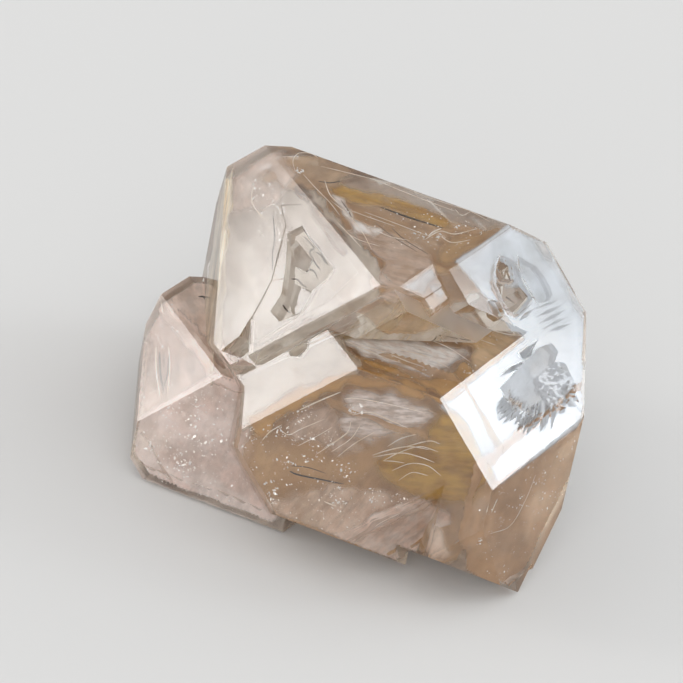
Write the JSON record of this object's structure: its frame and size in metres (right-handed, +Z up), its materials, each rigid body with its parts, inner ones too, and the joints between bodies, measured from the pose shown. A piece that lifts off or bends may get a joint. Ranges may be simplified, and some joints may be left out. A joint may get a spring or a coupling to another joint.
{
  "type": "window quartz crystal cluster",
  "caption": "Loose cluster of parallel-grown smoky window quartz crystals with skeletal hollows in their faces, lying on a flat end face.",
  "frame": {"origin": "under the middle of the bounding box, on the surface the crystal lies on", "axes": "+Z up, square to the level end face on top; -Y is the front, where the stepped faces and the windows show; +X to the right seen from the front"},
  "size_m": [0.0472, 0.0388, 0.0288],
  "materials": {
    "quartz": "clear pale smoky quartz, glossy flat faces with etched and stepped hollows"
  },
  "bodies": {
    "root": {"window_quartz": "quartz"}
  },
  "joints": []
}
